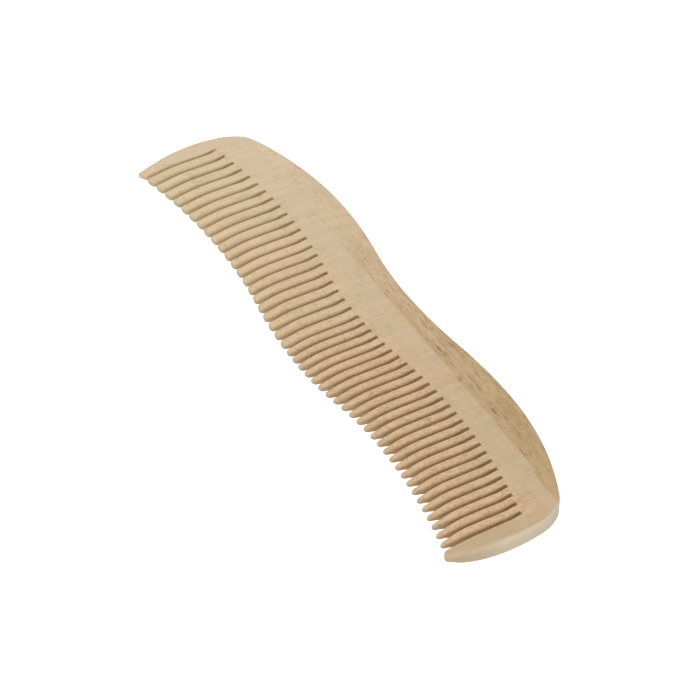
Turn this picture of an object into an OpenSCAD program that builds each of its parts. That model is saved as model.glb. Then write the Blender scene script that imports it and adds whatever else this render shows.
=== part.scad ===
/* [Comb] */
// Overall length of the comb, from end to end
comb_l = 170; // [160:1:180]
// Thickness of the wood between the ridge of the back and the roots of the teeth
wood_t = 4.2; // [4:0.1:5.5]

/* [Back] */
// Place of the hump of the coarse half, along the comb from its middle
left_hump_x = -42.5; // [-44:0.5:-40]
// Place of the hump of the fine half
right_hump_x = 41.5; // [40:0.5:44]
// Place of the dip between the humps, in the back edge and the root line
dip_x = -2; // [-4:0.5:4]
// Height of the back edge at a hump, above the middle of the comb
hump_y = 21; // [19.5:0.5:22]
// How far the wavy lines drop from a hump to the dip
wave_drop = 3.6; // [2:0.2:5]
// Radius of the back edge from a hump to the shoulder beyond it
back_r = 83; // [75:1:100]
// Radius of each shoulder, where the back edge turns into the end
shoulder_r = 13; // [10:1:18]
// Radius of each end of the comb
end_r = 44; // [40:1:50]
// Height of the middle of each end's arc
end_y = -4; // [-6:0.5:-2]
// Height of the ridge, where the flat faces turn into the sloping back
ridge_y = 11.8; // [10:0.1:14]
// Slope of the back on both faces, in degrees
back_slope = 8; // [4:0.5:8]

/* [Teeth] */
// Height of the tooth roots under a hump
root_y = 5.5; // [4:0.5:7]
// Radius of the root line and the tip line outside the humps
root_r = 167; // [150:1:200]
// Length of a tooth under a hump, from its root to its tip
tooth_l = 21.7; // [19:0.5:22]
// Place of the dip in the line of the tips
tip_dip_x = 4; // [-4:0.5:4]
// Place of the slot between the coarse and the fine half, from the middle of the comb
middle_slot_x = -0.6; // [-1:0.1:1]
// Distance between the slots of the coarse half
coarse_pitch = 3.75; // [3.5:0.05:3.75]
// Number of slots in the coarse half, without the slot in the middle
coarse_n = 21; // [18:1:21]
// Distance between the slots of the fine half
fine_pitch = 3.05; // [2.8:0.05:3.05]
// Number of slots in the fine half
fine_n = 26; // [20:1:26]
// Width of a slot
slot_w = 1.1; // [0.8:0.05:1.4]
// Radius that rounds the long edges of a tooth
tooth_edge_r = 0.5; // [0.3:0.1:0.7]
// Length of the straight part of a tooth, before it narrows to the tip
tooth_straight_l = 13; // [8:0.5:15]
// How much each face of a tooth has curved in where the round tip begins
face_taper = 1; // [0.6:0.1:1.4]
// How much each side of a tooth has curved in where the round tip begins
side_taper = 0.3; // [0.1:0.05:0.4]
// Length of the round tip of a tooth
tip_l = 1.5; // [1:0.1:2]
// Radius of the round tip of each end guard, seen from above
guard_tip_r = 1.2; // [1:0.1:1.4]

/* [Hidden] */
$fn = 48;

// Spacing of the points along the wavy back edge
back_step = 3;
// Angle between the points along the arcs of the shoulders, ends and guards
arc_step = 6;
// Steps along a curved stretch of a tooth, and along its round tip
taper_steps = 4;
tip_steps = 3;
// Angle of the arc that rounds a tip, up to the small flat at its end
tip_angle = 75;
// How far a tooth reaches into the back above its root
tooth_bury = 1;
// What a cutting solid stands proud of the wood that it cuts
proud = 1;

// Fall of an arc of radius r at the distance d from its top
function arc_drop(r, d) = r - sqrt(r * r - d * d);

// Fall of a wavy line at x below its humps, with its dip at dip and the radius outer_r beyond them
// From a hump to the dip it runs in two equal arcs, one convex and one hollow
function wave(x, dip, outer_r) =
    let (hump = x < dip ? left_hump_x : right_hump_x, span = abs(hump - dip), d = abs(x - hump),
         r = (span * span + wave_drop * wave_drop) / (4 * wave_drop))
    x < left_hump_x || x > right_hump_x ? arc_drop(outer_r, d)
    : d < span / 2 ? arc_drop(r, d)
    : wave_drop - arc_drop(r, span - d);

// Height of the tooth roots at x
function root_at(x) = root_y - wave(x, dip_x, root_r);

// Length of a tooth at x
function length_at(x) = tooth_l + wave(x, tip_dip_x, root_r) - wave(x, dip_x, root_r);

// Points of an arc about c, from the angle a to the angle b
function arc(c, r, a, b) =
    let (n = max(1, ceil(abs(b - a) / arc_step)))
    [for (i = [0:n]) let (t = a + (b - a) * i / n) c + r * [cos(t), sin(t)]];

// Centre of a circle of radius r that touches the circles about a and b from inside
function inner_centre(a, ra, b, rb, r) =
    let (p = ra - r, q = rb - r, d = norm(b - a), u = (b - a) / d,
         along = (p * p - q * q + d * d) / (2 * d))
    a + u * along + [u[1], -u[0]] * sqrt(p * p - along * along);

// Direction of the vector v, in degrees
function direction(v) = atan2(v[1], v[0]);

// Points mirrored to the other end of the comb, in reverse
function mirrored(points) = [for (i = [len(points) - 1:-1:0]) [-points[i][0], points[i][1]]];

// Half outline of a tooth that is straight, then curves in by taper, and ends in a round tip
function bullet_half(half, taper, l) =
    let (curve_l = l - tip_l - tooth_straight_l,
         r = (curve_l * curve_l + taper * taper) / (2 * taper), tip_half = half - taper)
    concat(
        [for (i = [0:taper_steps]) let (d = curve_l * i / taper_steps)
            [-tooth_straight_l - d, half - arc_drop(r, d)]],
        [for (i = [1:tip_steps]) let (t = tip_angle * i / tip_steps)
            [-l + tip_l * (1 - sin(t)), tip_half * cos(t)]]);

// The other half of such an outline, in reverse
function lower_half(points) = [for (i = [len(points) - 1:-1:0]) [points[i][0], -points[i][1]]];

// Outline of a tooth, from tooth_bury above its root
function bullet(half, taper, l) =
    let (upper = concat([[tooth_bury, half]], bullet_half(half, taper, l)))
    concat(upper, lower_half(upper));

// Outline of what is cut away round the end of such a tooth
function bullet_cut(half, taper, l) =
    let (upper = bullet_half(half, taper, l), out = half + proud)
    concat([[-tooth_straight_l, out]], upper, lower_half(upper),
        [[-tooth_straight_l, -out], [-l - proud, -out], [-l - proud, out]]);

// Centre of the arc of the right end
end_c = [comb_l / 2 - end_r, end_y];

// Centre of the round tip of the right guard, as low as the humps are high, and the angle to it
guard_a = asin((guard_tip_r - hump_y - end_y) / (end_r - guard_tip_r));
guard_c = end_c + (end_r - guard_tip_r) * [cos(guard_a), sin(guard_a)];

// Outline of the right end, from the shoulder beyond a hump at x to the inner side of the guard's tip
function end_outline(x) =
    let (back_c = [x, hump_y - back_r],
         shoulder_c = inner_centre(back_c, back_r, end_c, end_r, shoulder_r),
         end_a = direction(shoulder_c - end_c))
    concat(
        arc(shoulder_c, shoulder_r, direction(shoulder_c - back_c), end_a),
        arc(end_c, end_r, end_a, guard_a),
        arc(guard_c, guard_tip_r, guard_a, -180));

right_end = end_outline(right_hump_x);
left_end = mirrored(end_outline(-left_hump_x));

// Back edge between the shoulders, from left to right
back_x0 = left_end[len(left_end) - 1][0];
back_l = right_end[0][0] - back_x0;
back_n = ceil(back_l / back_step);
back_edge = [for (i = [1:back_n - 1])
    let (x = back_x0 + back_l * i / back_n) [x, hump_y - wave(x, dip_x, back_r)]];

// Middles of the slots, from left to right
slot_x = concat(
    [for (i = [coarse_n:-1:0]) middle_slot_x - coarse_pitch * i],
    [for (i = [1:fine_n]) middle_slot_x + fine_pitch * i]);
last = len(slot_x) - 1;

// Root line from right to left, level across each slot, with its steps inside the teeth
root_line = [for (i = [last:-1:0])
    let (y = root_at(slot_x[i]), inside = slot_w / 2 + tooth_edge_r)
    each [[slot_x[i] + (i == last ? slot_w / 2 : inside), y],
          [slot_x[i] - (i == 0 ? slot_w / 2 : inside), y]]];

module comb() {
    color("burlywood") {
        body();
        for (i = [0:last - 1]) tooth(slot_x[i], slot_x[i + 1]);
    }
}

// The back and the two end guards, in one outline
module body() {
    difference() {
        linear_extrude(wood_t) polygon(concat(back_edge, right_end, root_line, left_end));
        back_slopes();
        guard_ends(slot_x[0], -1);
        guard_ends(slot_x[last], 1);
    }
}

// Wood taken off both faces between the ridge and the back edge
module back_slopes() {
    for (top = [0, 1])
        translate([-comb_l / 2, ridge_y, top * wood_t]) mirror([0, 0, 1 - top])
            rotate([-back_slope, 0, 0]) cube([comb_l, hump_y, wood_t]);
}

// Wood taken off round the end of the guard that stands beyond the slot at x
module guard_ends(x, side) {
    w = comb_l / 2 - abs(x) + proud;
    translate([x + side * w / 2, root_at(x), wood_t / 2])
        along_x(w) polygon(bullet_cut(wood_t / 2, face_taper, hump_y + root_at(x)));
}

// One tooth between the slots at x0 and x1
module tooth(x0, x1) {
    w = x1 - x0 - slot_w;
    x = (x0 + x1) / 2;
    l = length_at(x);
    translate([x, root_at(x), wood_t / 2]) intersection() {
        along_x(w) polygon(bullet(wood_t / 2, face_taper, l));
        along_y(l) rounded_bar(w, wood_t, tooth_edge_r);
        along_z() polygon(bullet(w / 2, side_taper, l));
    }
}

// Turns a side view of a tooth, drawn lengthwise, into a solid of width w
module along_x(w) {
    rotate([90, 0, 90]) translate([0, 0, -w / 2]) linear_extrude(w) children();
}

// Turns a cross-section of a tooth into a solid of the length l below its root
module along_y(l) {
    rotate([90, 0, 0]) translate([0, 0, -tooth_bury]) linear_extrude(tooth_bury + l) children();
}

// Turns a top view of a tooth, drawn lengthwise, into a solid of the wood's thickness
module along_z() {
    translate([0, 0, -wood_t / 2]) linear_extrude(wood_t) rotate(90) children();
}

// Rectangle with round corners
module rounded_bar(w, t, r) {
    square([w - 2 * r, t], center = true);
    square([w, t - 2 * r], center = true);
    for (x = [-1, 1], y = [-1, 1]) translate([x * (w / 2 - r), y * (t / 2 - r)]) circle(r);
}

comb();
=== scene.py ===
"""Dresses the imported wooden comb: every edge finely rounded, and sanded beech all over.

The comb keeps the place and the sizes of its CAD solid. Lengths are in millimetres until a mesh
is written, and in metres from there on.
"""

import logging
import math
from dataclasses import astuple, dataclass
from enum import Enum

import bmesh
import bpy
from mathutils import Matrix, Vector
from mathutils.geometry import delaunay_2d_cdt


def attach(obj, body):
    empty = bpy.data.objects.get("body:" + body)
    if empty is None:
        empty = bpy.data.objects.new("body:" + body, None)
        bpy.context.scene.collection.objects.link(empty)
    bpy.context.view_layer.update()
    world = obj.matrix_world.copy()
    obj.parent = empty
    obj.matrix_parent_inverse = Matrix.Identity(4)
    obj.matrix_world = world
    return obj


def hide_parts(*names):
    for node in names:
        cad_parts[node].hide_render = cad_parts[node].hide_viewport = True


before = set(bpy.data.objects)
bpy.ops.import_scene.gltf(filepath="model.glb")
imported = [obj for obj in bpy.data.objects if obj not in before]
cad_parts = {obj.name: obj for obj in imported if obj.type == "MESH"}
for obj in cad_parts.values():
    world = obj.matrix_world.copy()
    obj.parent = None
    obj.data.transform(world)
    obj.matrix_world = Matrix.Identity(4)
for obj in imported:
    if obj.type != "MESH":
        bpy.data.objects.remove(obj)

LOG = logging.getLogger("comb")
MM = 0.001
NODE = "comb"

Pair = tuple[float, float]
Socket = bpy.types.NodeSocket
Tree = bpy.types.NodeTree


def arc_drop(radius: float, distance: float) -> float:
    """Gives the fall of an arc at a distance from its top, along the tangent there."""
    return radius - math.sqrt(radius * radius - distance * distance)


def smooth_step(low: float, high: float, value: float) -> float:
    """Gives the height at a value of a smooth rise from 0 at low to 1 at high."""
    share = min(1.0, max(0.0, (value - low) / (high - low)))
    return share * share * (3.0 - 2.0 * share)


def heading(angle: float) -> Vector:
    """Gives the unit vector at an angle in degrees, in the plane of the board."""
    return Vector((math.cos(math.radians(angle)), math.sin(math.radians(angle))))


def arc_points(centre: Pair, radius: float, start: float, end: float, step: float) -> list[Pair]:
    """Gives points along an arc.

    Args:
        centre: Centre of the arc.
        radius: Radius of the arc.
        start: Angle of its first point, in degrees.
        end: Angle of its last point, in degrees.
        step: Largest angle between two points.

    Returns:
        The points, both ends included.
    """
    count = max(1, math.ceil(abs(end - start) / step))
    angles = [math.radians(start + (end - start) * i / count) for i in range(count + 1)]
    return [(centre[0] + radius * math.cos(a), centre[1] + radius * math.sin(a)) for a in angles]


@dataclass(frozen=True)
class WavyLine:
    """A line along the comb with a hump in each half and a dip between them."""

    hump_y: float
    dip_x: float
    outer_radius: float
    left_hump_x: float = -42.5
    right_hump_x: float = 41.5
    drop: float = 3.6

    def height(self, x: float) -> float:
        """Gives the height of the line.

        Args:
            x: Place along the comb.

        Returns:
            The height above the middle of the comb.
        """
        hump = self.left_hump_x if x < self.dip_x else self.right_hump_x
        span = abs(hump - self.dip_x)
        radius = (span * span + self.drop * self.drop) / (4.0 * self.drop)
        distance = abs(x - hump)
        if x < self.left_hump_x or x > self.right_hump_x:
            return self.hump_y - arc_drop(self.outer_radius, distance)
        if distance < span / 2.0:
            return self.hump_y - arc_drop(radius, distance)
        return self.hump_y - self.drop + arc_drop(radius, span - distance)


@dataclass(frozen=True)
class Sizes:
    """Sizes that can turn into others of their kind."""

    def toward(self, other: "Sizes", share: float) -> "Sizes":
        """Gives the sizes between these and others, at a share from 0 to 1."""
        pairs = zip(astuple(self), astuple(other))
        return type(self)(*(mine + (its - mine) * share for mine, its in pairs))


@dataclass(frozen=True)
class Bullet(Sizes):
    """How one side of a tooth runs: straight, then curving in, then round at the tip."""

    taper: float
    straight: float = 13.0
    tip: float = 1.5

    def half(self, half: float, along: float, length: float) -> float:
        """Gives the half size of the tooth between two such sides.

        Args:
            half: Half size at the root.
            along: Distance from the root.
            length: Length of the tooth.

        Returns:
            The half size there.
        """
        curve = length - self.tip - self.straight
        radius = (curve * curve + self.taper * self.taper) / (2.0 * self.taper)
        if along <= self.straight:
            return half
        if along <= length - self.tip:
            return half - arc_drop(radius, along - self.straight)
        share = min(1.0, (along - (length - self.tip)) / self.tip)
        return (half - self.taper) * math.sqrt(max(0.0, 1.0 - share * share))


@dataclass(frozen=True)
class Rounding(Sizes):
    """How the wood is rounded between a face and the wall.

    It is an arc that ends upright in the wall. Where it starts at 90 degrees it runs smoothly into
    the face, and where it starts lower it leaves an edge there.
    """

    radius: float
    start: float = 90.0
    # How much deeper than wide it is
    stretch: float = 1.0


SHARP = Rounding(0.0)


@dataclass(frozen=True)
class Turn:
    """A stretch of an edge along which its rounding turns into another."""

    start: float
    end: float
    into: Rounding


@dataclass(frozen=True)
class EdgeRun:
    """The rounding of an edge that changes on its way."""

    first: Rounding
    turns: tuple[Turn, ...]

    def at(self, place: float) -> Rounding:
        """Gives the rounding at a place, in the measure of the turns.

        Args:
            place: Place along the edge.

        Returns:
            The rounding there.
        """
        rounding = self.first
        for turn in self.turns:
            rounding = rounding.toward(turn.into, smooth_step(turn.start, turn.end, place))
        return rounding

    def last(self) -> Rounding:
        """Gives the rounding that the edge ends with."""
        return self.turns[-1].into


class GuardTip(Enum):
    """How the tip of an end guard is shaped, seen from above."""

    ROUND = "one round tip"
    POINTED = "outer corner left sharp, slanted toward the slot"


@dataclass(frozen=True)
class CombEnd:
    """One end of the comb, from its shoulder to the tip of its guard."""

    tip: GuardTip
    corner_radius: float
    # Angle at which the corner's arc ends, in degrees
    corner_end: float
    # How far the outer side of the guard stands out at its tip
    flare: float
    # Upper and lower face of the guard
    faces: tuple[Bullet, Bullet]
    # Rounding of the upper and the lower edge, by the place across the comb
    upper: EdgeRun
    lower: EdgeRun
    # What these turn into at the inner side of the tip
    upper_inner: Rounding
    lower_inner: Rounding


class Stretch(Enum):
    """What the stretch of outline after a point is."""

    WALL = "open wall of the comb"
    TOOTH = "root of a tooth"


@dataclass(frozen=True)
class EdgePoint:
    """A point of the comb's outline, with how the upper and the lower face are rounded there."""

    x: float
    y: float
    upper: Rounding
    lower: Rounding
    after: Stretch = Stretch.WALL


@dataclass(frozen=True)
class ToothShape:
    """The teeth: blunt at the coarse end and in the middle, and pointed at the fine end."""

    coarse_face: Bullet = Bullet(taper=1.0, tip=1.4)
    coarse_under: Bullet = Bullet(taper=0.6, tip=1.4)
    coarse_side: Bullet = Bullet(taper=0.2, tip=0.6)
    fine_face: Bullet = Bullet(taper=1.2, tip=1.6)
    fine_side: Bullet = Bullet(taper=0.35, tip=1.5)
    # Places along the comb between which the tips turn from blunt to pointed
    pointed_x: Pair = (-55.0, 75.0)
    # Radius of the long edges, and the distances from the root between which it grows to that
    coarse_edge: float = 1.0
    fine_edge: float = 0.9
    edge_along: Pair = (0.2, 4.0)
    # How much a tooth widens to each side below its root, and where
    bulge: float = 0.2
    bulge_along: Pair = (0.2, 6.0)
    # How far the section turns to an oval toward the tip, and where
    oval: float = 0.7
    oval_along: Pair = (9.0, 18.0)
    # Largest share of the section's smaller side that its corners take
    largest_corner: float = 0.95
    # How steeply the tip is slanted, as a share of the slope of the line of the tips, and where
    tip_slant: float = 1.4
    slant_length: float = 7.0
    # Distance from the root in which its slant is lost
    level_length: float = 3.0
    root_places: tuple[float, ...] = (0.0, 0.35, 0.8, 1.4, 2.2, 3.2, 4.5, 6.5, 9.5)
    taper_steps: int = 7
    tip_steps: int = 8
    corner_steps: int = 5
    crown_steps: int = 8

    def sections(self, x: float, edge: float, size: tuple[float, float, float],
                 upper: bool) -> list[tuple[float, list[Pair]]]:
        """Gives the halves of a tooth's cross-sections, from its root to its tip.

        Args:
            x: Place of the tooth along the comb.
            edge: Radius of its long edges.
            size: Its width, thickness and length.
            upper: Whether it is the upper half.

        Returns:
            For each section its distance from the root, and its points.
        """
        width, thickness, length = size
        pointed = smooth_step(*self.pointed_x, x)
        face = (self.coarse_face if upper else self.coarse_under).toward(self.fine_face, pointed)
        side = self.coarse_side.toward(self.fine_side, pointed)
        tip = max(face.tip, side.tip)
        curve = length - tip - face.straight
        places = [*self.root_places, face.straight]
        places += [face.straight + curve * i / self.taper_steps for i in range(1, self.taper_steps + 1)]
        turns = [math.radians(90.0 * i / self.tip_steps) for i in range(1, self.tip_steps + 1)]
        places += [length - tip * (1.0 - math.sin(turn)) for turn in turns]
        found = []
        for along in places:
            wide = width / 2.0 + self.bulge * smooth_step(*self.bulge_along, along)
            across = side.half(wide, along, length)
            high = face.half(thickness / 2.0, along, length)
            largest = self.largest_corner * min(across, high)
            corner = edge * smooth_step(*self.edge_along, along)
            corner += (largest - corner) * self.oval * smooth_step(*self.oval_along, along)
            found.append((along, self.half_section(across, high, min(largest, corner))))
        return found

    def half_section(self, across: float, high: float, corner: float) -> list[Pair]:
        """Draws the upper half of a cross-section, from left to right.

        Args:
            across: Half width.
            high: Half height.
            corner: Radius of the corners.

        Returns:
            Points of the section.
        """
        turns = [math.radians(90.0 * i / self.corner_steps) for i in range(self.corner_steps + 1)]
        left = [(-across + corner * (1.0 - math.cos(a)), high - corner * (1.0 - math.sin(a))) for a in turns]
        flat = across - corner
        crown = [(flat * (2.0 * i / self.crown_steps - 1.0), high) for i in range(1, self.crown_steps)]
        right = [(-px, pz) for px, pz in reversed(left)]
        return [(-across, 0.0), *left, *crown, *right, (across, 0.0)]


@dataclass(frozen=True)
class WoodenComb:
    """The whole comb, one piece of wood."""

    length: float = 170.0
    thickness: float = 4.2
    back: WavyLine = WavyLine(hump_y=21.0, dip_x=-2.0, outer_radius=83.0)
    roots: WavyLine = WavyLine(hump_y=5.5, dip_x=-2.0, outer_radius=167.0)
    tips: WavyLine = WavyLine(hump_y=-16.2, dip_x=4.0, outer_radius=167.0)
    teeth: ToothShape = ToothShape()
    shoulder_radius: float = 11.5
    end_radius: float = 44.0
    end_y: float = -4.0
    # Lowest place of both guards
    lowest_y: float = -20.94
    middle_slot_x: float = -0.6
    coarse_pitch: float = 3.75
    coarse_slots: int = 21
    fine_pitch: float = 3.05
    fine_slots: int = 26
    slot_width: float = 1.1

    # The ridge, where the sloping back begins. It bends down beside the fine end's shoulder, and
    # fades out toward the coarse end
    back_slope: float = 8.0
    ridge_y: float = 11.8
    ridge_bend: float = 1.1
    ridge_bend_x: Pair = (64.0, 74.0)
    ridge_blend: float = 0.3
    ridge_fade: float = 2.4
    ridge_fade_x: Pair = (-52.0, -72.0)

    # The edge of the back is crisper along the fine half of the upper face
    back_upper: EdgeRun = EdgeRun(Rounding(0.45), (Turn(-20.0, 10.0, Rounding(0.15)),))
    back_lower: Rounding = Rounding(0.45)
    coarse_end: CombEnd = CombEnd(
        tip=GuardTip.POINTED, corner_radius=0.3, corner_end=-123.0, flare=0.75,
        faces=(Bullet(taper=1.5), Bullet(taper=0.95)),
        upper=EdgeRun(Rounding(0.45), (Turn(12.0, 8.0, Rounding(0.95)),
                                       Turn(0.0, -12.0, Rounding(1.4)),
                                       Turn(-14.0, -20.6, Rounding(0.26, 90.0, 4.2)))),
        lower=EdgeRun(Rounding(0.45), (Turn(15.0, 6.0, Rounding(0.35)),
                                       Turn(-18.5, -20.6, Rounding(0.24, 90.0, 2.2)))),
        upper_inner=Rounding(0.26, 90.0, 4.2), lower_inner=Rounding(0.24, 90.0, 2.2))
    # The upper edge of the fine end is cut back in a bevel, which fades out toward the guard's tip
    fine_end: CombEnd = CombEnd(
        tip=GuardTip.ROUND, corner_radius=1.2, corner_end=-180.0, flare=0.0,
        faces=(Bullet(taper=0.95), Bullet(taper=0.65)),
        upper=EdgeRun(Rounding(0.15), (Turn(12.5, 8.5, Rounding(2.6, 50.0)),
                                       Turn(-4.0, -13.0, Rounding(2.0)),
                                       Turn(-15.5, -19.6, Rounding(0.9)))),
        lower=EdgeRun(Rounding(0.45), (Turn(12.0, 7.0, Rounding(1.1)),
                                       Turn(5.0, -14.0, Rounding(0.35)),
                                       Turn(-17.5, -20.5, Rounding(1.1)))),
        upper_inner=Rounding(0.4), lower_inner=Rounding(0.35))
    flare_y: Pair = (-14.5, -21.5)
    slant_radius: float = 0.8
    # Inner side of a guard: its edges turn from those of its tip into those of a tooth, and its
    # wall bulges as a tooth's does, by the share of the way from tip to root
    side_upper: tuple[Turn, ...] = (Turn(0.0, 0.15, Rounding(1.1)), Turn(0.3, 0.8, Rounding(0.9)),
                                    Turn(0.82, 1.0, SHARP))
    side_lower: tuple[Turn, ...] = (Turn(0.0, 0.2, Rounding(0.9)), Turn(0.82, 1.0, SHARP))
    side_bulge: Pair = (0.0, 0.12)
    side_level: Pair = (0.76, 1.0)
    # Largest share of the half thickness that a rounding takes
    deepest_edge: float = 0.96

    shoulder_step: float = 3.0
    end_step: float = 1.2
    corner_step: float = 10.0
    side_steps: int = 36
    edge_steps: int = 6
    # Grid over the curved part of a guard: its rows, its places in a row, and how far it stays off
    # the straight part, the tip, the outer and the inner side
    grid_step: float = 0.5
    grid_shares: tuple[float, ...] = (0.1, 0.5, 0.9)
    grid_margins: tuple[float, float, float, float] = (1.0, 3.2, 2.2, 0.9)
    # Lines along the ridge, by their distance from it, and how far their ends stay off the outline
    ridge_lines: tuple[float, ...] = (-2.7, -1.8, -1.0, -0.6, -0.3, 0.0, 0.3, 0.6, 1.0, 1.8, 2.7)
    ridge_margin: float = 2.0
    ridge_steps: int = 60
    # Points closer than this become one, edges shorter than this go, and steeper edges stay sharp
    weld: float = 0.002
    shortest_edge: float = 0.001
    sharp_angle: float = 31.0
    fill_tolerance: float = 0.00001

    def slots(self) -> list[float]:
        """Gives the middles of the slots, from the coarse end to the fine end."""
        coarse = [self.middle_slot_x - self.coarse_pitch * i for i in range(self.coarse_slots, -1, -1)]
        return coarse + [self.middle_slot_x + self.fine_pitch * i for i in range(1, self.fine_slots + 1)]

    def end_outline(self, end: CombEnd, hump_x: float, slot_x: float) -> list[EdgePoint]:
        """Draws an end as the right one, from its shoulder to the inner side of its guard's tip.

        Args:
            end: The end.
            hump_x: Distance of this half's hump from the middle of the comb.
            slot_x: Distance of the nearest slot from the middle of the comb.

        Returns:
            Points of the outline, with their rounding.
        """
        centre = Vector((self.length / 2.0 - self.end_radius, self.end_y))
        back = Vector((hump_x, self.back.hump_y - self.back.outer_radius))
        # The shoulder's arc touches the arcs of the back and of the end from inside
        p, q = self.back.outer_radius - self.shoulder_radius, self.end_radius - self.shoulder_radius
        gap = centre - back
        along = (p * p - q * q + gap.length_squared) / (2.0 * gap.length)
        unit = gap.normalized()
        shoulder = back + unit * along + Vector((unit.y, -unit.x)) * math.sqrt(p * p - along * along)
        start = math.degrees(math.atan2(*(shoulder - back).yx))
        turn = math.degrees(math.atan2(*(shoulder - centre).yx))
        reach = self.end_radius - end.corner_radius
        low = math.degrees(math.asin((end.corner_radius + self.lowest_y - self.end_y) / reach))
        corner = centre + reach * heading(low)
        corner.x += end.flare * smooth_step(*self.flare_y, corner.y)
        places = arc_points(tuple(shoulder), self.shoulder_radius, start, turn, self.shoulder_step)
        places += arc_points(tuple(centre), self.end_radius, turn, low, self.end_step)[1:]
        points = []
        for x, y in places:
            x += end.flare * smooth_step(*self.flare_y, y)
            points.append(EdgePoint(x, y, end.upper.at(y), end.lower.at(y)))
        tip = arc_points(tuple(corner), end.corner_radius, low, end.corner_end, self.corner_step)[1:]
        for i, (x, y) in enumerate(tip, 1):
            points.append(EdgePoint(x, y, end.upper.last().toward(end.upper_inner, i / len(tip)),
                                    end.lower.last().toward(end.lower_inner, i / len(tip))))
        if end.tip is GuardTip.POINTED:
            # A round corner joins the slanted tip to the inner side
            normal = heading(end.corner_end)
            x = slot_x + self.slot_width / 2.0 + self.slant_radius
            offset = corner.dot(normal) + end.corner_radius - self.slant_radius
            inner = (x, (offset - x * normal.x) / normal.y)
            points += [EdgePoint(*place, end.upper_inner, end.lower_inner) for place in
                       arc_points(inner, self.slant_radius, end.corner_end, -180.0, self.corner_step)]
        return points

    def guard_side(self, tip: EdgePoint, root: Pair) -> list[EdgePoint]:
        """Draws the inner side of a guard, from its tip to its root, both left out.

        Args:
            tip: Last point of the guard's tip.
            root: Corner of the slot beside the guard.

        Returns:
            Points of the side, with their rounding.
        """
        points = []
        for i in range(1, self.side_steps):
            share = i / self.side_steps
            bulge = smooth_step(*self.side_bulge, share) * (1.0 - smooth_step(*self.side_level, share))
            x = tip.x + (root[0] - tip.x) * share - math.copysign(self.teeth.bulge * bulge, tip.x)
            points.append(EdgePoint(x, tip.y + (root[1] - tip.y) * share,
                                    EdgeRun(tip.upper, self.side_upper).at(share),
                                    EdgeRun(tip.lower, self.side_lower).at(share)))
        return points

    def outline(self) -> list[EdgePoint]:
        """Draws the outline of the wood without its teeth, clockwise from the left shoulder.

        Returns:
            Points of the closed outline.
        """
        slots, half = self.slots(), self.slot_width / 2.0
        right = self.end_outline(self.fine_end, self.back.right_hump_x, slots[-1])
        left = [EdgePoint(-p.x, p.y, p.upper, p.lower)
                for p in reversed(self.end_outline(self.coarse_end, -self.back.left_hump_x, -slots[0]))]
        points: list[EdgePoint] = []
        start, stop = left[-1].x, right[0].x
        # One point a millimetre
        count = math.ceil(stop - start)
        for i in range(1, count):
            x = start + (stop - start) * i / count
            points.append(EdgePoint(x, self.back.height(x), self.back_upper.at(x), self.back_lower))
        points += right
        points += self.guard_side(right[-1], (slots[-1] + half, self.roots.height(slots[-1])))
        for i in range(len(slots) - 1, -1, -1):
            y = self.roots.height(slots[i])
            points.append(EdgePoint(slots[i] + half, y, SHARP, SHARP))
            points.append(EdgePoint(slots[i] - half, y, SHARP, SHARP, Stretch.TOOTH if i else Stretch.WALL))
            if i:
                low, high = self.tooth_root(i - 1)
                for k in range(self.teeth.crown_steps - 1, 0, -1):
                    share = k / self.teeth.crown_steps
                    x, y = (a + (b - a) * share for a, b in zip(low, high))
                    points.append(EdgePoint(x, y, SHARP, SHARP, Stretch.TOOTH))
        side = self.guard_side(left[0], (slots[0] - half, self.roots.height(slots[0])))
        return points + side[::-1] + left

    def tooth_root(self, index: int) -> tuple[Pair, Pair]:
        """Gives the two ends of a tooth's root, at the slots on both its sides.

        Args:
            index: Number of the tooth, from the coarse end.

        Returns:
            The left and the right end.
        """
        slots, half = self.slots(), self.slot_width / 2.0
        left, right = slots[index], slots[index + 1]
        return (left + half, self.roots.height(left)), (right - half, self.roots.height(right))

    def ridge(self, x: float) -> float:
        """Gives the height of the ridge of the back at x."""
        return self.ridge_y - self.ridge_bend * smooth_step(*self.ridge_bend_x, x)

    def top(self, x: float, y: float, upper: bool) -> float:
        """Gives the height of a face, from the middle of the wood's thickness.

        Args:
            x: Place along the comb.
            y: Place across the comb.
            upper: Whether it is the upper face.

        Returns:
            The height of the face there, without the rounding of the outline.
        """
        half = self.thickness / 2.0
        over = y - self.ridge(x)
        blend = self.ridge_blend + self.ridge_fade * smooth_step(*self.ridge_fade_x, x)
        if over > -blend:
            fall = over if over > blend else (over + blend) ** 2 / (4.0 * blend)
            half -= fall * math.tan(math.radians(self.back_slope))
        slots = self.slots()
        if x < slots[0] or x > slots[-1]:
            root = self.roots.height(slots[0] if x < 0.0 else slots[-1])
            length = self.back.hump_y + root
            face = (self.coarse_end if x < 0.0 else self.fine_end).faces[0 if upper else 1]
            along = min(root - y, length - face.tip)
            half -= self.thickness / 2.0 - face.half(self.thickness / 2.0, along, length)
        return half

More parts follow.
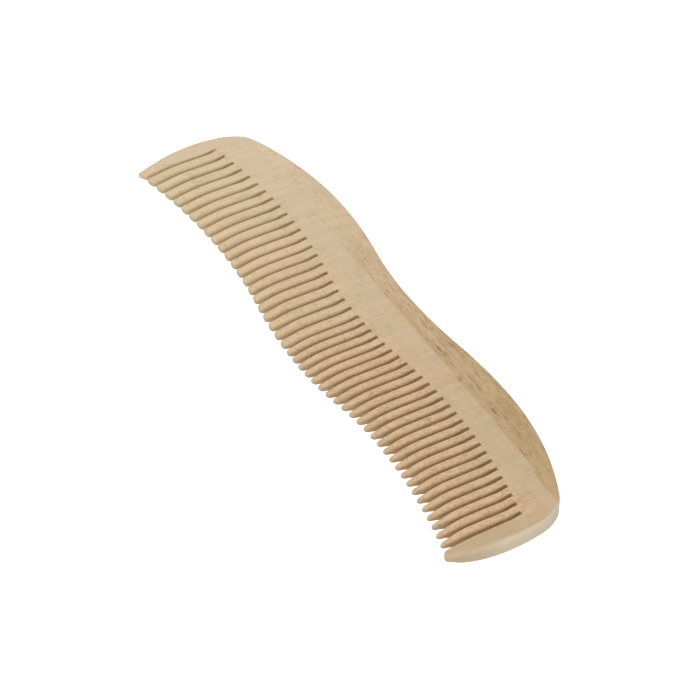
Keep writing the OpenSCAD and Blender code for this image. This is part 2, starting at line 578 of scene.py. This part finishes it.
    def rim(self, outline: list[EdgePoint], upper: bool) -> list[list[Vector]]:
        """Rounds the outline from a face to the middle of the thickness, drawn as an upper face.

        Args:
            outline: The comb's outline.
            upper: Whether it is the upper face's rounding or the lower one's.

        Returns:
            One row of places for each step, from the face outward and down.
        """
        count = len(outline)
        rows: list[list[Vector]] = [[] for _ in range(self.edge_steps + 2)]
        for i, point in enumerate(outline):
            before, after = outline[i - 1], outline[(i + 1) % count]
            way = Vector((after.x - before.x, after.y - before.y)).normalized()
            out = Vector((-way.y, way.x))
            rounding = point.upper if upper else point.lower
            start = math.radians(rounding.start)
            for k in range(self.edge_steps + 1):
                angle = start * (1.0 - k / self.edge_steps)
                inset = rounding.radius * (1.0 - math.cos(angle))
                x, y = point.x - out.x * inset, point.y - out.y * inset
                face = self.top(x, y, upper)
                deep = min(rounding.radius * rounding.stretch * math.sin(start), self.deepest_edge * face)
                rows[k].append(Vector((x, y, face - deep * (1.0 - math.sin(angle) / math.sin(start)))))
            rows[-1].append(Vector((point.x, point.y, 0.0)))
        return rows

    def face_extras(self, ring: list[Vector]) -> tuple[list[Pair], list[list[Pair]]]:
        """Gives what a face needs inside its outline, to follow its slopes and curves.

        Args:
            ring: Inner edge of the rounding.

        Returns:
            Single points over the guards, and lines along the ridge.
        """
        points: list[Pair] = []
        slots = self.slots()
        straight, tip, outer_side, inner_side = self.grid_margins
        for side, slot in ((-1.0, slots[0]), (1.0, slots[-1])):
            y = self.roots.height(slot) - self.coarse_end.faces[0].straight + straight
            while y > -self.back.hump_y + tip:
                reach = math.sqrt(self.end_radius ** 2 - (y - self.end_y) ** 2)
                outer = self.length / 2.0 - self.end_radius + reach - outer_side
                inner = abs(slot) + self.slot_width / 2.0 + inner_side
                if outer - inner > self.grid_step:
                    points += [(side * (inner + (outer - inner) * share), y) for share in self.grid_shares]
                y -= self.grid_step
        lines: list[list[Pair]] = []
        for step in self.ridge_lines:
            above = [place.x for place in ring if place.y > self.ridge(place.x) + step]
            start, stop = min(above) + self.ridge_margin, max(above) - self.ridge_margin
            xs = [start + (stop - start) * i / self.ridge_steps for i in range(self.ridge_steps + 1)]
            lines.append([(x, self.ridge(x) + step) for x in xs])
        return points, lines

    def fill_face(self, mesh: bmesh.types.BMesh, ring: list[Vector], upper: bool) -> None:
        """Fills a face.

        Args:
            mesh: Mesh to add to.
            ring: Inner edge of the rounding, clockwise.
            upper: Whether it is the upper face.
        """
        points, lines = self.face_extras(ring)
        places = [Vector((v.x, v.y)) for v in reversed(ring)]
        outer = list(range(len(places)))
        places += [Vector(p) for p in points]
        edges = []
        for line in lines:
            edges += [(len(places) + i, len(places) + i + 1) for i in range(len(line) - 1)]
            places += [Vector(p) for p in line]
        # Kind 1 of filling keeps what lies inside the outline
        found, _, faces, *_ = delaunay_2d_cdt(places, edges, [outer], 1, self.fill_tolerance)
        used = {i for face in faces for i in face}
        made = {i: mesh.verts.new((found[i].x, found[i].y, self.top(*found[i], upper))) for i in used}
        for face in faces:
            mesh.faces.new([made[i] for i in face])

    def tooth(self, mesh: bmesh.types.BMesh, index: int, upper: bool) -> None:
        """Adds one half of a tooth, from its root to its tip, drawn as the upper half.

        Args:
            mesh: Mesh to add to.
            index: Number of the tooth, from the coarse end.
            upper: Whether it is the upper half.
        """
        shape = self.teeth
        left, right = self.tooth_root(index)
        x, width = (left[0] + right[0]) / 2.0, right[0] - left[0]
        base, tip = self.roots.height(x), self.tips.height(x)
        length = base - tip
        edge = shape.fine_edge if x > self.middle_slot_x else shape.coarse_edge
        rings = []
        for along, section in shape.sections(x, edge, (width, self.thickness, length), upper):
            slant = shape.tip_slant * smooth_step(length - shape.slant_length, length, along)
            level = smooth_step(0.0, shape.level_length, along)
            ring = []
            for px, pz in section:
                slanted = left[1] + (right[1] - left[1]) * (px + width / 2.0) / width
                y = base + (slanted - base) * (1.0 - level) - along
                y += slant * (self.tips.height(x + px) - tip)
                ring.append(mesh.verts.new((x + px, y, pz)))
            rings.append(ring)
        for ring, after in zip(rings, rings[1:]):
            for i in range(len(ring) - 1):
                mesh.faces.new((ring[i], after[i], after[i + 1], ring[i + 1]))

    def add_half(self, mesh: bmesh.types.BMesh, outline: list[EdgePoint], upper: bool) -> None:
        """Adds one half of the comb's thickness, drawn as the upper half.

        Args:
            mesh: Mesh to add to.
            outline: The comb's outline.
            upper: Whether it is the upper half.
        """
        rows = self.rim(outline, upper)
        self.fill_face(mesh, rows[0], upper)
        made = [[mesh.verts.new(v) for v in row] for row in rows]
        for above, below in zip(made, made[1:]):
            for i, point in enumerate(outline):
                if point.after is Stretch.WALL:
                    j = (i + 1) % len(outline)
                    mesh.faces.new((above[i], above[j], below[j], below[i]))
        for index in range(len(self.slots()) - 1):
            self.tooth(mesh, index, upper)

    def build(self) -> bpy.types.Object:
        """Builds the comb as one closed mesh.

        Returns:
            The new object.
        """
        outline = self.outline()
        wood = bmesh.new()
        for upper in (False, True):
            # The lower half is made first, as if it were the upper one, and turned over here
            for vert in wood.verts:
                vert.co.z = -vert.co.z
            self.add_half(wood, outline, upper)
        bmesh.ops.remove_doubles(wood, verts=wood.verts[:], dist=self.weld)
        bmesh.ops.dissolve_degenerate(wood, edges=wood.edges[:], dist=self.shortest_edge)
        bmesh.ops.delete(wood, geom=[v for v in wood.verts if not v.link_faces], context="VERTS")
        bmesh.ops.recalc_face_normals(wood, faces=wood.faces[:])
        for vert in wood.verts:
            vert.co = Vector((vert.co.x, vert.co.y, vert.co.z + self.thickness / 2.0)) * MM
        for face in wood.faces:
            face.smooth = True
        for edge in wood.edges:
            edge.smooth = edge.is_manifold and edge.calc_face_angle(0.0) < math.radians(self.sharp_angle)
        open_edges = sum(not edge.is_manifold for edge in wood.edges)
        mesh = bpy.data.meshes.new("comb_wood")
        wood.to_mesh(mesh)
        wood.free()
        LOG.info("comb mesh: %d faces, %d open edges", len(mesh.polygons), open_edges)
        return self.with_even_shading(mesh)

    def with_even_shading(self, mesh: bpy.types.Mesh) -> bpy.types.Object:
        """Makes the comb's object, with its large flat faces shaded flat up to their edges.

        Args:
            mesh: The comb's mesh.

        Returns:
            The new object.
        """
        comb = bpy.data.objects.new("comb_wood", mesh)
        bpy.context.collection.objects.link(comb)
        weigh = comb.modifiers.new("even_shading", "WEIGHTED_NORMAL")
        weigh.keep_sharp = True
        graph = bpy.context.evaluated_depsgraph_get()
        comb.data = bpy.data.meshes.new_from_object(comb.evaluated_get(graph), depsgraph=graph)
        comb.modifiers.clear()
        return comb


def linear(code: str) -> tuple[float, float, float, float]:
    """Turns an sRGB hex colour to linear.

    Args:
        code: Six hex digits.

    Returns:
        Linear red, green and blue, and full alpha.
    """
    shares = [int(code[i:i + 2], 16) / 255.0 for i in (0, 2, 4)]
    red, green, blue = (s / 12.92 if s <= 0.04045 else ((s + 0.055) / 1.055) ** 2.4 for s in shares)
    return red, green, blue, 1.0


def add_node(tree: Tree, kind: str, settings: dict[str, object] | None = None,
             links: dict[str | int, object] | None = None) -> bpy.types.Node:
    """Adds a node with its settings and links.

    Args:
        tree: Node tree to add to.
        kind: Type name of the node.
        settings: Attributes of the node.
        links: For each input, the socket that feeds it or its fixed value.

    Returns:
        The new node.
    """
    node = tree.nodes.new(kind)
    for name, value in (settings or {}).items():
        setattr(node, name, value)
    for name, value in (links or {}).items():
        if isinstance(value, Socket):
            tree.links.new(value, node.inputs[name])
        else:
            node.inputs[name].default_value = value
    return node


@dataclass(frozen=True)
class Fade:
    """A share that changes smoothly between two values of a measure."""

    start: float
    end: float
    least: float = 0.0
    most: float = 1.0

    def over(self, tree: Tree, measure: Socket) -> Socket:
        """Adds the share that a measure gives."""
        node = add_node(tree, "ShaderNodeMapRange", {"interpolation_type": "SMOOTHSTEP"},
                        {"Value": measure, "From Min": self.start, "From Max": self.end,
                         "To Min": self.least, "To Max": self.most})
        return node.outputs[0]


@dataclass(frozen=True)
class Streak:
    """A pattern in the wood, with its size in millimetres along the comb, along the grain and in depth."""

    size: tuple[float, float, float]
    low: float
    high: float
    detail: float = 2.0
    shift: float = 0.0

    def strength(self, tree: Tree, place: Socket) -> Socket:
        """Adds the pattern.

        Args:
            tree: Node tree to add to.
            place: Place in the wood, in metres.

        Returns:
            Its strength, from 0 to 1.
        """
        scale = tuple(1.0 / (MM * s) for s in self.size)
        spot = add_node(tree, "ShaderNodeMapping", None,
                        {"Vector": place, "Location": (self.shift,) * 3, "Scale": scale})
        noise = add_node(tree, "ShaderNodeTexNoise", None,
                         {"Vector": spot.outputs[0], "Scale": 1.0, "Detail": self.detail})
        return Fade(self.low, self.high).over(tree, noise.outputs[0])


class Measure(Enum):
    """What the strength of a layer can follow."""

    X = "place along the comb, in mm"
    Y = "place across the comb, in mm"
    BOARD = "share of the way from the pale end of the board to its darker end"
    TEETH = "1 on the teeth, 0 elsewhere"
    BACK = "1 on the sloping back, 0 elsewhere"
    INSIDE = "1 between the walls of the two ends, 0 at them"
    RIM = "1 at the walls of the ends and along the back, 0 elsewhere"
    LEVEL = "1 where the wood lies level, 0 where it stands upright"
    CUT = "how much the wood is cut across its grain, a little more toward the darker end"
    HUE = "broad patches of a warmer tone"


Measures = dict[Measure, Socket]


@dataclass(frozen=True)
class Layer:
    """A tone over the tones below it, and what its strength follows."""

    tone: str
    # What the tone turns into toward the darker end of the board
    darker: str = ""
    streaks: tuple[Streak, ...] = ()
    within: tuple[Measure, ...] = ()
    fades: tuple[tuple[Measure, Fade], ...] = ()
    strength: float = 1.0
    # Whether it is a pore or a ray that lies open in the sanded face
    is_open: bool = False

    def share(self, tree: Tree, place: Socket, measures: Measures) -> Socket:
        """Adds the product of all that the layer follows, without its strength.

        Args:
            tree: Node tree to add to.
            place: Place in the wood, in metres.
            measures: The measures.

        Returns:
            The share of the layer, from 0 to 1.
        """
        shares = [streak.strength(tree, place) for streak in self.streaks]
        shares += [measures[measure] for measure in self.within]
        shares += [fade.over(tree, measures[measure]) for measure, fade in self.fades]
        result = shares[0]
        for other in shares[1:]:
            result = add_node(tree, "ShaderNodeMath", {"operation": "MULTIPLY"},
                              {0: result, 1: other}).outputs[0]
        return result


# A ray is a plate 0.05 mm thick and a few millimetres wide
RAYS = Streak(size=(3.4, 1.3, 0.036), low=0.58, high=0.68, detail=1.5, shift=7.0)
# A vessel is 0.06 mm wide, drawn wider so that it shows
VESSELS = Streak(size=(0.2, 4.2, 0.2), low=0.56, high=0.7, detail=1.5)
VESSEL_CLUSTERS = Streak(size=(6.0, 5.0, 6.0), low=0.42, high=0.62, detail=1.0, shift=11.0)
# Growth rings lie about 2 mm apart
GROWTH_RINGS = Streak(size=(1.9, 80.0, 5.0), low=0.35, high=0.7)
# Rays lie close together in broad thin sheets
RAY_SHEETS = Streak(size=(16.0, 7.0, 0.3), low=0.4, high=0.68, shift=5.0)
# Ends of rays in the teeth: single dark ones, and a fine mottling, both drawn larger than they are
RAY_SPOTS = Streak(size=(0.6, 1.2, 0.6), low=0.68, high=0.8, detail=0.5, shift=3.0)
MOTTLING = Streak(size=(0.55, 0.95, 0.55), low=0.44, high=0.66, detail=1.0, shift=17.0)
WARM_PATCHES = Streak(size=(9.0, 16.0, 9.0), low=0.3, high=0.7, detail=3.0)


@dataclass(frozen=True)
class SandedBeech:
    """Beech, cut with its grain along the teeth, sanded and left without varnish.

    To the eye it is matt and pale, and a little darker toward the fine end. It has short thin
    lines of vessels along the grain, and rays: thin plates that lie flat in the board. A flat face
    shows them as faint patches, and the sloping back cuts through them as dark spindles.
    """

    base: str = "e2d0b1"
    layers: tuple[Layer, ...] = (
        # The board gets darker toward the fine end
        Layer("d1b997", within=(Measure.BOARD,)),
        # The teeth, rounded and sanded on all sides
        Layer("e9d4b1", "e4c49e", within=(Measure.TEETH,)),
        # The back, which cuts through the rays
        Layer("ecd7b7", "c9ac80", within=(Measure.BACK,)),
        # Rosy and straw-coloured patches
        Layer("dcb48c", within=(Measure.HUE,), strength=0.3),
        Layer("d2bf8e", fades=((Measure.HUE, Fade(0.5, 0.0, 0.0, 0.25)),)),
        Layer("ae8a5c", streaks=(GROWTH_RINGS,), strength=0.12),
        Layer("ae8a5c", streaks=(RAY_SHEETS,), fades=((Measure.BACK, Fade(0.0, 1.0, 0.25, 1.0)),
                                                        (Measure.BOARD, Fade(0.1, 1.0, 0.06, 0.4)))),
        Layer("97795a", streaks=(VESSELS, VESSEL_CLUSTERS), strength=0.52, is_open=True),
        Layer("8a6234", streaks=(RAYS,), fades=((Measure.BACK, Fade(0.0, 1.0, 0.1, 0.85)),
                                                (Measure.BOARD, Fade(0.1, 0.9, 0.2, 1.0)),
                                                (Measure.X, Fade(72.0, 58.0, 0.3, 1.0))), is_open=True),
        Layer("8a6234", streaks=(RAY_SPOTS,), fades=((Measure.X, Fade(79.0, 77.0)),
                                                     (Measure.TEETH, Fade(0.0, 1.0)),
                                                     (Measure.BOARD, Fade(0.2, 0.8, 0.15, 0.5)))),
        Layer("8a6234", streaks=(MOTTLING,), within=(Measure.TEETH,),
              fades=((Measure.BOARD, Fade(0.2, 0.9, 0.12, 0.24)),)),
        # Paler walls of the ends and the back, palest where they stand upright: partly a paler tone of the
        # sanded wood, partly painted light on the walls and on the fine end's bevel, which stands in for the
        # soft boxes' light there
        Layer("ebdec4", within=(Measure.RIM,), fades=((Measure.LEVEL, Fade(0.98, 0.6, 0.0, 0.72)),
                                                      (Measure.Y, Fade(-16.0, -4.0, 0.2, 1.0)))),
        # Greyer top of the fine end's guard
        Layer("9c8f68", fades=((Measure.X, Fade(79.0, 81.0)), (Measure.Y, Fade(3.0, -5.0)),
                               (Measure.LEVEL, Fade(0.6, 0.98, 0.0, 0.18)))),
        # Painted shade on the sides and long rounded edges of the teeth, darker the more upright the
        # surface, standing in for the shade that falls into the slots
        Layer("c0b88a", "a98b57", within=(Measure.TEETH,), fades=((Measure.LEVEL, Fade(0.98, 0.25)),),
              strength=0.34),
        # Grey end grain on the tips of the teeth
        Layer("bcbba6", within=(Measure.INSIDE,), fades=((Measure.Y, Fade(-12.0, -15.0)),
                                                         (Measure.CUT, Fade(0.2, 1.0)),
                                                         (Measure.BOARD, Fade(0.2, 0.8, 0.45, 0.8)))),
    )
    # Places along the comb between which the board turns from its pale tones to its darker ones
    board_x: Pair = (-75.0, 45.0)
    inside_x: Fade = Fade(80.4, 79.4)
    teeth_y: Fade = Fade(7.0, 2.0)
    back_y: Fade = Fade(11.5, 12.1)
    rim_y: Fade = Fade(8.0, 9.5)
    # How far the ridge of the back bends down toward the fine end's shoulder
    ridge_bend: Fade = Fade(64.0, 74.0, 0.0, 1.1)
    cut_rise: float = 0.15
    # Sanded wood is matt, and its open grain a little more so
    roughness: Fade = Fade(0.0, 1.0, 0.55, 0.72)
    specular: float = 0.35
    ior: float = 1.5
    pore_depth: float = 0.03
    pore_strength: float = 0.25

    def measures(self, tree: Tree, place: Socket, normal: Socket) -> Measures:
        """Adds all that the layers can follow.

        Args:
            tree: Node tree to add to.
            place: Place in the wood, in metres.
            normal: Direction that the surface faces.

        Returns:
            The measures.
        """
        in_mm = add_node(tree, "ShaderNodeVectorMath", {"operation": "SCALE"}, {0: place, "Scale": 1.0 / MM})
        unsigned = [add_node(tree, "ShaderNodeVectorMath", {"operation": "ABSOLUTE"}, {0: vector})
                    for vector in (in_mm.outputs[0], normal)]
        (x, y, _), (reach, _, _), (_, across, level) = (
            add_node(tree, "ShaderNodeSeparateXYZ", None, {0: node.outputs[0]}).outputs
            for node in (in_mm, *unsigned))
        board = add_node(tree, "ShaderNodeMapRange", None,
                         {"Value": x, "From Min": self.board_x[0], "From Max": self.board_x[1]}).outputs[0]
        inside = self.inside_x.over(tree, reach)
        bent = add_node(tree, "ShaderNodeMath", {"operation": "ADD"},
                        {0: y, 1: self.ridge_bend.over(tree, x)}).outputs[0]
        found = {Measure.X: x, Measure.Y: y, Measure.BOARD: board, Measure.INSIDE: inside,
                 Measure.LEVEL: level, Measure.BACK: self.back_y.over(tree, bent),
                 Measure.HUE: WARM_PATCHES.strength(tree, place)}
        for measure, operation, values in (
                (Measure.TEETH, "MULTIPLY", (self.teeth_y.over(tree, y), inside)),
                (Measure.RIM, "MAXIMUM", (Fade(1.0, 0.0).over(tree, inside), self.rim_y.over(tree, y))),
                (Measure.CUT, "MULTIPLY_ADD", (board, self.cut_rise, across))):
            found[measure] = add_node(tree, "ShaderNodeMath", {"operation": operation},
                                      dict(enumerate(values))).outputs[0]
        return found

    def lay(self, tree: Tree, base: object, over: object, share: Socket) -> Socket:
        """Lays a share of a tone over another, each a socket or a value."""
        # The Mix node takes its two colours at 6 and 7, and gives their mixture at 2
        mix = add_node(tree, "ShaderNodeMix", {"data_type": "RGBA"}, {0: share, 6: base, 7: over})
        return mix.outputs[2]

    def colour(self, tree: Tree, place: Socket, normal: Socket) -> tuple[Socket, Socket]:
        """Adds the wood's colour.

        Args:
            tree: Node tree to add to.
            place: Place in the wood, in metres.
            normal: Direction that the surface faces.

        Returns:
            The colour, and how open the grain is.
        """
        measures = self.measures(tree, place, normal)
        tone: object = linear(self.base)
        open_shares = []
        for layer in self.layers:
            share = layer.share(tree, place, measures)
            if layer.is_open:
                open_shares.append(share)
            if layer.strength < 1.0:
                share = add_node(tree, "ShaderNodeMath", {"operation": "MULTIPLY"},
                                 {0: share, 1: layer.strength}).outputs[0]
            over = linear(layer.tone)
            if layer.darker:
                over = self.lay(tree, over, linear(layer.darker), measures[Measure.BOARD])
            tone = self.lay(tree, tone, over, share)
        vessels, rays = open_shares
        open_grain = add_node(tree, "ShaderNodeMath", {"operation": "ADD"}, {0: vessels, 1: rays})
        return tone, open_grain.outputs[0]

    def material(self) -> bpy.types.Material:
        """Makes the material.

        Returns:
            The new material.
        """
        made = bpy.data.materials.new("beech_sanded")
        made.use_nodes = True
        tree = made.node_tree
        tree.nodes.clear()
        where = add_node(tree, "ShaderNodeTexCoord")
        tone, open_grain = self.colour(tree, where.outputs["Object"], where.outputs["Normal"])
        bump = add_node(tree, "ShaderNodeBump", {"invert": True},
                        {"Height": open_grain, "Strength": self.pore_strength,
                         "Distance": self.pore_depth * MM})
        shader = add_node(tree, "ShaderNodeBsdfPrincipled", None,
                          {"Base Color": tone, "Roughness": self.roughness.over(tree, open_grain),
                           "Normal": bump.outputs[0], "Specular IOR Level": self.specular,
                           "IOR": self.ior})
        add_node(tree, "ShaderNodeOutputMaterial", None, {"Surface": shader.outputs[0]})
        return made


@dataclass(frozen=True)
class SoftBox:
    """A square soft box that faces the comb, with its power in watts and its side in metres."""

    name: str
    azimuth: float
    elevation: float
    power: float
    side: float


@dataclass(frozen=True)
class Studio:
    """A white table with soft light, and the camera at the photo's angle."""

    aim: tuple[float, float, float] = (9.48, -6.32, 4.2)
    azimuth: float = 60.73
    elevation: float = 42.63
    distance: float = 675.6
    lens: float = 137.9
    sensor: float = 36.0
    # Nearest place that the camera sees, in metres
    nearest: float = 0.01
    boxes: tuple[SoftBox, ...] = (SoftBox("key_light", -10.0, 55.0, 7.0, 1.0),
                                  SoftBox("fill_light", 75.0, 40.0, 3.2, 1.2))
    # Distance of the soft boxes and half the side of the table, in metres
    box_distance: float = 1.6
    table_reach: float = 4.0
    white: str = "ffffff"
    sky_strength: float = 0.65
    table_glow: float = 0.75

    def direction(self, azimuth: float, elevation: float) -> Vector:
        """Gives a direction from its degrees round from the side of the teeth, and up from the table."""
        a, e = math.radians(azimuth), math.radians(elevation)
        return Vector((math.sin(a) * math.cos(e), -math.cos(a) * math.cos(e), math.sin(e)))

    def camera(self) -> None:
        """Adds the camera and makes it the scene's."""
        lens = bpy.data.cameras.new("camera")
        lens.lens, lens.sensor_width, lens.clip_start = self.lens, self.sensor, self.nearest
        camera = bpy.data.objects.new("camera", lens)
        bpy.context.collection.objects.link(camera)
        back = self.direction(self.azimuth, self.elevation)
        camera.location = (Vector(self.aim) + back * self.distance) * MM
        camera.rotation_euler = back.to_track_quat("Z", "Y").to_euler()
        bpy.context.scene.camera = camera

    def light(self, box: SoftBox) -> None:
        """Adds a light.

        Args:
            box: The soft box that gives it.
        """
        lamp = bpy.data.lights.new(box.name, "AREA")
        lamp.energy, lamp.size = box.power, box.side
        light = bpy.data.objects.new(box.name, lamp)
        bpy.context.collection.objects.link(light)
        way = self.direction(box.azimuth, box.elevation)
        light.location = way * self.box_distance
        light.rotation_euler = way.to_track_quat("Z", "Y").to_euler()

    def table(self) -> bpy.types.Object:
        """Adds the table, which glows a little so that no shadow darkens it.

        Returns:
            The table.
        """
        reach = self.table_reach
        mesh = bpy.data.meshes.new("table")
        corners = [(-reach, -reach, 0), (reach, -reach, 0), (reach, reach, 0), (-reach, reach, 0)]
        mesh.from_pydata(corners, [], [(0, 1, 2, 3)])
        table = bpy.data.objects.new("table", mesh)
        bpy.context.collection.objects.link(table)
        # Matt white paper, without any gloss
        paper = bpy.data.materials.new("paper_white")
        paper.use_nodes = True
        shader = paper.node_tree.nodes["Principled BSDF"]
        for name, value in (("Base Color", linear(self.white)), ("Roughness", 0.9),
                            ("Specular IOR Level", 0.0), ("Emission Color", linear(self.white)),
                            ("Emission Strength", self.table_glow)):
            shader.inputs[name].default_value = value
        mesh.materials.append(paper)
        # The glow is for the background alone: it doesn't light the comb
        table.visible_diffuse = table.visible_glossy = False
        return table

    def build(self) -> None:
        """Sets up the camera, the light and the table."""
        self.camera()
        for box in self.boxes:
            self.light(box)
        world = bpy.context.scene.world or bpy.data.worlds.new("studio")
        bpy.context.scene.world = world
        world.use_nodes = True
        sky = world.node_tree.nodes["Background"]
        sky.inputs["Color"].default_value = linear(self.white)
        sky.inputs["Strength"].default_value = self.sky_strength
        bpy.context.scene.view_settings.view_transform = "Standard"
        self.table()


def main() -> None:
    """Builds the comb and its surroundings, and reports each piece."""
    logging.basicConfig(level=logging.INFO, format="%(name)s: %(message)s")
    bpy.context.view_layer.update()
    comb = WoodenComb().build()
    comb.data.materials.append(SandedBeech().material())
    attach(comb, "root")
    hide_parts(NODE)
    LOG.info("comb: one piece of beech, %.0f mm long", comb.dimensions.x / MM)
    Studio().build()
    LOG.info("studio: camera, soft boxes and table")


if __name__ == "__main__":
    main()
